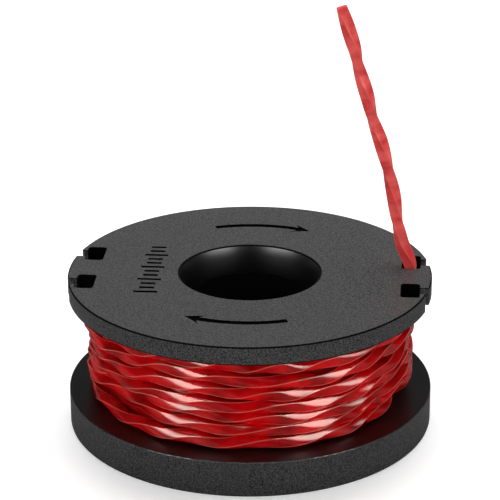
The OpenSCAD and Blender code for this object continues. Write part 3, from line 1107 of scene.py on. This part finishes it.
def make_line_start(context):
    scene = context.scene
    line, sizes, body = scene.line_sizes, scene.spool_sizes, scene.body_sizes
    z = sizes.lower_thickness + body.anchor_rise
    start = Vector((0, -sizes.bore_radius - body.anchor_gap, z))
    end = Vector((0, -sizes.bore_radius - body.barrel, z))
    points = evenly([start, end], line.ring_step)
    bm = line_mesh(line, points, Vector((0, 0, 1)), 0, line.twist_length)
    add_piece("anchored_end", bm, [line_material(scene)], "line_anchor_end")


# ---------- Materials ----------


def fill(tree, node, inputs):
    """Links a node's inputs to sockets, or sets them to plain values."""
    for key, value in inputs.items():
        if isinstance(value, bpy.types.NodeSocket):
            tree.links.new(value, node.inputs[key])
        else:
            node.inputs[key].default_value = value


def add_node(tree, kind, inputs=None, **settings):
    """Adds a shader node, sets its options and fills its inputs."""
    node = tree.nodes.new(kind)
    for key, value in settings.items():
        setattr(node, key, value)
    fill(tree, node, inputs or {})
    return node


def calculated(tree, operation, *values):
    """The result of one step of arithmetic."""
    return add_node(tree, "ShaderNodeMath", dict(enumerate(values)), operation=operation).outputs[0]


def mapped(tree, value, start, end, low=0, high=1, curve="LINEAR"):
    """Takes a value from the range between start and end to the range between low and high."""
    return add_node(tree, "ShaderNodeMapRange", {
        "Value": value, "From Min": start, "From Max": end, "To Min": low, "To Max": high,
    }, interpolation_type=curve).outputs["Result"]


def faded(tree, value, start, end, low=0, high=1):
    """The same, but smoothly."""
    return mapped(tree, value, start, end, low, high, "SMOOTHSTEP")


def opaque(rgb):
    """A plain colour as a socket takes it."""
    return rgb if isinstance(rgb, bpy.types.NodeSocket) else (*rgb, 1)


def mixed(tree, factor, first, second):
    """Mixes two colours, which are the seventh and the eighth input of a mix node."""
    return add_node(tree, "ShaderNodeMix", {
        "Factor": factor, 6: opaque(first), 7: opaque(second),
    }, data_type="RGBA").outputs[2]


def noise(tree, place, scale, detail, roughness=0.5):
    """Noise from 0 to 1."""
    return add_node(tree, "ShaderNodeTexNoise", {
        "Vector": place, "Scale": scale, "Detail": detail, "Roughness": roughness,
    }).outputs["Fac"]


def bumped(tree, height, strength, distance):
    """The normal of a face with small bumps."""
    return add_node(tree, "ShaderNodeBump", {
        "Height": height, "Strength": strength, "Distance": distance,
    }).outputs["Normal"]


def new_group(name, inputs, outputs):
    """An empty node group that takes vectors and numbers and gives numbers."""
    tree = bpy.data.node_groups.new(name, "ShaderNodeTree")
    for key, kind in inputs.items():
        tree.interface.new_socket(name=key, in_out="INPUT", socket_type=kind)
    for key in outputs:
        tree.interface.new_socket(name=key, in_out="OUTPUT", socket_type="NodeSocketFloat")
    return tree, tree.nodes.new("NodeGroupInput").outputs, tree.nodes.new("NodeGroupOutput")


def new_material(name):
    """A material with its tree and its Principled shader, which are None if it was made before."""
    found = bpy.data.materials.get(name)
    if found:
        return found, None, None
    material = bpy.data.materials.new(name)
    material.use_nodes = True
    tree = material.node_tree
    tree.nodes.clear()
    shader = tree.nodes.new("ShaderNodeBsdfPrincipled")
    add_node(tree, "ShaderNodeOutputMaterial", {"Surface": shader.outputs["BSDF"]})
    return material, tree, shader


def object_coordinates(tree):
    return tree.nodes.new("ShaderNodeTexCoord").outputs["Object"]


def moulded_grain_group():
    """Fine spark-eroded grain and slow mottling of a moulded face."""
    found = bpy.data.node_groups.get("moulded_grain")
    if found:
        return found
    tree, given, out = new_group(
        "moulded_grain", {"Vector": "NodeSocketVector", "Grain Scale": "NodeSocketFloat"},
        ("Grain", "Mottle"),
    )
    fill(tree, out, {
        "Grain": noise(tree, given["Vector"], given["Grain Scale"], detail=2, roughness=0.6),
        "Mottle": noise(tree, given["Vector"], scale=95, detail=3),
    })
    return tree


def moulded_grain(tree, scale):
    """Places the group in a material."""
    return add_node(tree, "ShaderNodeGroup", {
        "Vector": object_coordinates(tree), "Grain Scale": scale,
    }, node_tree=moulded_grain_group()).outputs


def moulding_material(finish):
    """Black moulding with a fine grain."""
    material, tree, shader = new_material("black_moulding")
    if tree is None:
        return material
    grain = moulded_grain(tree, 4600)
    specks = mapped(tree, grain["Grain"], 0.4, 0.6)
    fill(tree, shader, {
        "Base Color": mixed(tree, specks, finish.moulding, finish.speck),
        "Roughness": mapped(tree, grain["Mottle"], 0.3, 0.7, 0.28, 0.34),
        "Normal": bumped(tree, grain["Grain"], 0.6, 0.08 * MM),
        "Specular IOR Level": 0.08,
    })
    return material


def shaded_bore_material(finish):
    """The polished wall that turns on the spindle; its near-black colour is painted shade, and the lower
    flange's ledge takes it as painted shade too.
    """
    material, tree, shader = new_material("polished_shaded_bore")
    if tree is None:
        return material
    grain = moulded_grain(tree, 1500)
    fill(tree, shader, {
        "Base Color": mixed(tree, grain["Mottle"], finish.bore, finish.rubbed_bore_and_edge_shade),
        "Normal": bumped(tree, grain["Grain"], 0.15, 0.04 * MM),
        "Roughness": 0.32,
        "Specular IOR Level": 0.42,
    })
    return material


def shaded_material(name, black):
    """The plain dull black, a painted shade, of the slots' walls, the sunk marks, the barrel and the
    edges.
    """
    material, tree, shader = new_material(name)
    if tree is None:
        return material
    fill(tree, shader, {"Base Color": opaque(black), "Roughness": 0.9, "Specular IOR Level": 0.02})
    return material


def drawn_line_group():
    """Streaks along the line, clouds in it, rubbed places, and a mask of its corners for the painted
    highlight.
    """
    found = bpy.data.node_groups.get("drawn_line")
    if found:
        return found
    tree, given, out = new_group(
        "drawn_line",
        {"Line Space": "NodeSocketVector", "Vector": "NodeSocketVector", "Half": "NodeSocketFloat"},
        ("Streaks", "Clouds", "Rubs", "Ridge Highlight"),
    )
    space = given["Line Space"]
    stretched = add_node(tree, "ShaderNodeMapping", {"Vector": space, "Scale": (1, 1, 0.03)})
    parts = add_node(tree, "ShaderNodeSeparateXYZ", {0: space}).outputs
    nearest = calculated(tree, "MINIMUM", *[calculated(tree, "ABSOLUTE", parts[k]) for k in "XY"])
    fill(tree, out, {
        "Streaks": noise(tree, stretched.outputs["Vector"], scale=4200, detail=2),
        "Clouds": noise(tree, space, scale=180, detail=2),
        "Rubs": mapped(tree, noise(tree, given["Vector"], 420, detail=5, roughness=0.7), 0.6, 0.75),
        "Ridge Highlight": mapped(tree, calculated(tree, "DIVIDE", nearest, given["Half"]), 0.78, 0.92),
    })
    return tree


def nylon(name, scene, light, deep, highlight_share, transmission, roughness, painted_glow, shade_below=0):
    """Translucent twisted line with a painted highlight whitening its corners.

    The painted glow is emission that stands in for light scattered inside it. Below the height
    shade_below the line is painted in shade, deeper in colour.
    """
    material, tree, shader = new_material(name)
    if tree is None:
        return material
    where = object_coordinates(tree)
    space = add_node(tree, "ShaderNodeAttribute", attribute_name="line_space").outputs["Vector"]
    drawn = add_node(tree, "ShaderNodeGroup", {
        "Line Space": space, "Vector": where, "Half": scene.line_sizes.gauge / 2,
    }, node_tree=drawn_line_group()).outputs
    height = add_node(tree, "ShaderNodeSeparateXYZ", {0: where}).outputs["Z"]
    # Below shade_below the line is painted in shade; higher up, clouds mix a deeper tone in at random
    clear = faded(tree, height, shade_below - SHADE_FADE, shade_below)
    clouds = mapped(tree, drawn["Clouds"], 0.38, 0.62)
    body = mixed(tree, calculated(tree, "MULTIPLY", clouds, clear), deep, light)
    # The corners take a painted highlight
    highlighted = calculated(tree, "MULTIPLY", drawn["Ridge Highlight"], highlight_share)
    fill(tree, shader, {
        "Base Color": mixed(tree, highlighted, body, scene.finish.ridge_highlight),
        "Roughness": mapped(tree, drawn["Rubs"], 0, 1, roughness, roughness + 0.2),
        "Normal": bumped(tree, drawn["Streaks"], 0.12, 0.02 * MM),
        "IOR": 1.5,
        "Specular IOR Level": 0.6,
        "Specular Tint": (1, 0.85, 0.76, 1),
        "Transmission Weight": transmission,
        # Painted glow in the line's lit colour
        "Emission Color": opaque(light),
        "Emission Strength": painted_glow,
    })
    return material


def line_material(scene):
    """The free end, painted paler for the light that comes through it, with painted shade near its slot
    and a painted glow.
    """
    finish = scene.finish
    return nylon(
        "red_nylon", scene, finish.line_lit, finish.line_shade, highlight_share=0.25, transmission=0.25,
        roughness=0.34, painted_glow=0.13, shade_below=SHADE_TOP,
    )


def wound_line_material(scene):
    """The same line on the winding, with a strong painted highlight along its corners and a faint painted
    glow.
    """
    finish = scene.finish
    return nylon(
        "wound_nylon", scene, finish.line, finish.deep_and_shaded_line, highlight_share=0.95, transmission=0.3,
        roughness=0.14, painted_glow=0.005,
    )


def shaded_line_material(scene):
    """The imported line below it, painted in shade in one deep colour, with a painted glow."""
    deep = scene.finish.deep_and_shaded_line
    return nylon(
        "shaded_red_nylon", scene, deep, deep, highlight_share=0, transmission=0.2, roughness=0.3, painted_glow=0.04,
    )


# ---------- Stage ----------


def make_floor(finish, stage):
    bm = bmesh.new()
    bmesh.ops.create_grid(bm, x_segments=1, y_segments=1, size=FLOOR_REACH)
    floor = linked("floor", as_mesh("floor", bm))
    material, tree, shader = new_material("pale_floor")
    path = tree.nodes.new("ShaderNodeLightPath")
    dimmed = [channel * stage.floor_gloss for channel in finish.floor]
    fill(tree, shader, {
        "Base Color": mixed(tree, path.outputs["Is Glossy Ray"], finish.floor, dimmed),
        "Roughness": 0.9,
        "Emission Color": (1, 1, 1, 1),
        "Emission Strength": calculated(tree, "MULTIPLY", seen_plainly(tree), stage.floor_glow),
    })
    floor.data.materials.append(material)


def seen_plainly(tree):
    """1 for rays that come from the camera, straight or through the line."""
    path = tree.nodes.new("ShaderNodeLightPath").outputs
    return calculated(tree, "MAXIMUM", path["Is Camera Ray"], path["Is Transmission Ray"])


def toward(tree, way, direction):
    """How far the ray's level direction agrees with a direction: the cosine of the angle between them."""
    level = add_node(tree, "ShaderNodeVectorMath", {0: way, 1: (1, 1, 0)}, operation="MULTIPLY")
    unit = add_node(tree, "ShaderNodeVectorMath", {0: level.outputs[0]}, operation="NORMALIZE")
    return add_node(
        tree, "ShaderNodeVectorMath", {0: unit.outputs[0], 1: direction}, operation="DOT_PRODUCT",
    ).outputs["Value"]


def sky_in_gloss(tree, stage):
    """What a gloss shows: a pale backdrop low behind the spool, and a tall panel on each side."""
    way = tree.nodes.new("ShaderNodeTexCoord").outputs["Generated"]
    up = add_node(tree, "ShaderNodeSeparateXYZ", {0: way}).outputs["Z"]
    behind = faded(tree, toward(tree, way, polar(-1, stage.view_angle, 0)), *BACKDROP_EDGE)
    low = faded(tree, up, *BACKDROP_TOP, stage.overhead, stage.backdrop)
    backdrop = calculated(tree, "MULTIPLY_ADD", behind, low, stage.overhead)
    raised = calculated(tree, "MULTIPLY", faded(tree, up, *PANEL_FOOT), stage.panel)
    return calculated(tree, "MULTIPLY_ADD", toward_panels(tree, way, stage), raised, backdrop)


def toward_panels(tree, way, stage):
    """1 where a level direction points at the middle of either panel."""
    near = math.cos(stage.panel_width * (1 - PANEL_BLUR))
    far = math.cos(stage.panel_width * (1 + PANEL_BLUR))
    middles = [polar(1, stage.view_angle + side * stage.key_side, 0) for side in (-1, 1)]
    return calculated(
        tree, "MAXIMUM", *[faded(tree, toward(tree, way, middle), far, near) for middle in middles],
    )


def make_world(stage):
    """White where it is seen, weak as a light, and graded where a gloss shows it."""
    world = bpy.data.worlds.new("studio")
    bpy.context.scene.world = world
    world.use_nodes = True
    tree = world.node_tree
    tree.nodes.clear()
    path = tree.nodes.new("ShaderNodeLightPath")
    graded = add_node(tree, "ShaderNodeMix", {
        "Factor": path.outputs["Is Glossy Ray"],
        2: mapped(tree, seen_plainly(tree), 0, 1, stage.ambient, 1),
        3: sky_in_gloss(tree, stage),
    }, data_type="FLOAT")
    light = add_node(tree, "ShaderNodeBackground", {
        "Color": (1, 1, 1, 1), "Strength": graded.outputs[0],
    })
    add_node(tree, "ShaderNodeOutputWorld", {"Surface": light.outputs[0]})


def aim(thing, target):
    thing.rotation_mode = "QUATERNION"
    thing.rotation_quaternion = (Vector(target) - thing.location).to_track_quat("-Z", "Y")


def add_lamp(name, place, size, power):
    """A square lamp that no gloss shows: the backdrop holds what a gloss shows."""
    data = bpy.data.lights.new(name, "AREA")
    data.size = size
    data.energy = power
    lamp = linked(name, data)
    lamp.visible_glossy = False
    lamp.location = place
    aim(lamp, LAMP_TARGET)


def add_lamps(stage):
    for name, side in (("left_softbox", -1), ("right_softbox", 1)):
        turn = stage.view_angle + side * stage.key_side
        out = stage.key_distance * math.cos(stage.key_height)
        place = polar(out, turn, stage.key_distance * math.sin(stage.key_height))
        add_lamp(name, place, stage.key_size, stage.key_power)
    add_lamp("top_softbox", TOP_LAMP_PLACE, TOP_LAMP_SIZE, stage.top_power)


def add_camera():
    data = bpy.data.cameras.new("camera")
    data.lens = LENS
    data.sensor_width = SENSOR_WIDTH
    data.clip_start = NEAREST
    data.clip_end = FARTHEST
    camera = linked("camera", data)
    camera.location = CAMERA_PLACE
    aim(camera, CAMERA_TARGET)
    camera.rotation_quaternion = camera.rotation_quaternion @ Quaternion((0, 0, 1), CAMERA_ROLL)
    bpy.context.scene.camera = camera


def make_stage(context):
    scene = context.scene
    scene.view_settings.view_transform = "Standard"
    make_floor(scene.finish, scene.stage_settings)
    make_world(scene.stage_settings)
    add_lamps(scene.stage_settings)


# ---------- Add-on ----------


class SPOOL_OT_camera(bpy.types.Operator):
    """Place the camera"""

    bl_idname = "spool.camera"
    bl_label = "Camera"

    def execute(self, context):
        add_camera()
        return {"FINISHED"}


class SPOOL_OT_line_tail(bpy.types.Operator):
    """Make the free end of the line, which stands up out of its slot"""

    bl_idname = "spool.line_tail"
    bl_label = "Free End"

    def execute(self, context):
        make_line_tail(context)
        return {"FINISHED"}


class SPOOL_OT_outer_turns(bpy.types.Operator):
    """Make the outer layer of the winding"""

    bl_idname = "spool.outer_turns"
    bl_label = "Outer Turns"

    def execute(self, context):
        make_outer_turns(context)
        return {"FINISHED"}


class SPOOL_OT_inner_layers(bpy.types.Operator):
    """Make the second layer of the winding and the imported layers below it"""

    bl_idname = "spool.inner_layers"
    bl_label = "Inner Layers"

    def execute(self, context):
        make_inner_layers(context)
        return {"FINISHED"}


class SPOOL_OT_line_start(bpy.types.Operator):
    """Make the inner end of the line, in the barrel's anchor hole"""

    bl_idname = "spool.line_start"
    bl_label = "Anchored End"

    def execute(self, context):
        make_line_start(context)
        return {"FINISHED"}


class SPOOL_OT_upper_flange(bpy.types.Operator):
    """Make the slotted upper flange with its arrows"""

    bl_idname = "spool.upper_flange"
    bl_label = "Upper Flange"

    def execute(self, context):
        make_upper_flange(context)
        return {"FINISHED"}


class SPOOL_OT_lower_flange(bpy.types.Operator):
    """Make the lower flange with its drive lugs"""

    bl_idname = "spool.lower_flange"
    bl_label = "Lower Flange"

    def execute(self, context):
        make_lower_flange(context)
        return {"FINISHED"}


class SPOOL_OT_hub_barrel(bpy.types.Operator):
    """Make the barrel that carries the line"""

    bl_idname = "spool.hub_barrel"
    bl_label = "Hub Barrel"

    def execute(self, context):
        make_hub_barrel(context)
        return {"FINISHED"}


class SPOOL_OT_stage(bpy.types.Operator):
    """Make the floor, the backdrop and the lamps"""

    bl_idname = "spool.stage"
    bl_label = "Stage"

    def execute(self, context):
        make_stage(context)
        return {"FINISHED"}


OPERATORS = (
    SPOOL_OT_camera, SPOOL_OT_line_tail, SPOOL_OT_outer_turns, SPOOL_OT_inner_layers,
    SPOOL_OT_line_start, SPOOL_OT_upper_flange, SPOOL_OT_lower_flange, SPOOL_OT_hub_barrel,
    SPOOL_OT_stage,
)
SETTINGS = {
    "spool_sizes": SpoolSizes,
    "slot_sizes": SlotSizes,
    "mark_sizes": MarkSizes,
    "body_sizes": BodySizes,
    "line_sizes": LineSizes,
    "finish": Finish,
    "stage_settings": StageSettings,
}


class SPOOL_PT_panel(bpy.types.Panel):
    """Lists the pieces of the spool"""

    bl_idname = "SPOOL_PT_panel"
    bl_label = "Trimmer Line Spool"
    bl_space_type = "VIEW_3D"
    bl_region_type = "UI"
    bl_category = "Spool"

    def draw(self, context):
        for operator in OPERATORS:
            self.layout.operator(operator.bl_idname)


def register():
    for cls in (*SETTINGS.values(), *OPERATORS, SPOOL_PT_panel):
        bpy.utils.register_class(cls)
    for name, cls in SETTINGS.items():
        setattr(bpy.types.Scene, name, bpy.props.PointerProperty(type=cls))


def unregister():
    for name in SETTINGS:
        delattr(bpy.types.Scene, name)
    for cls in (SPOOL_PT_panel, *reversed(OPERATORS), *reversed(SETTINGS.values())):
        bpy.utils.unregister_class(cls)


def main():
    register()
    for operator in OPERATORS:
        group, name = operator.bl_idname.split(".")
        getattr(getattr(bpy.ops, group), name)()


if __name__ == "__main__":
    main()
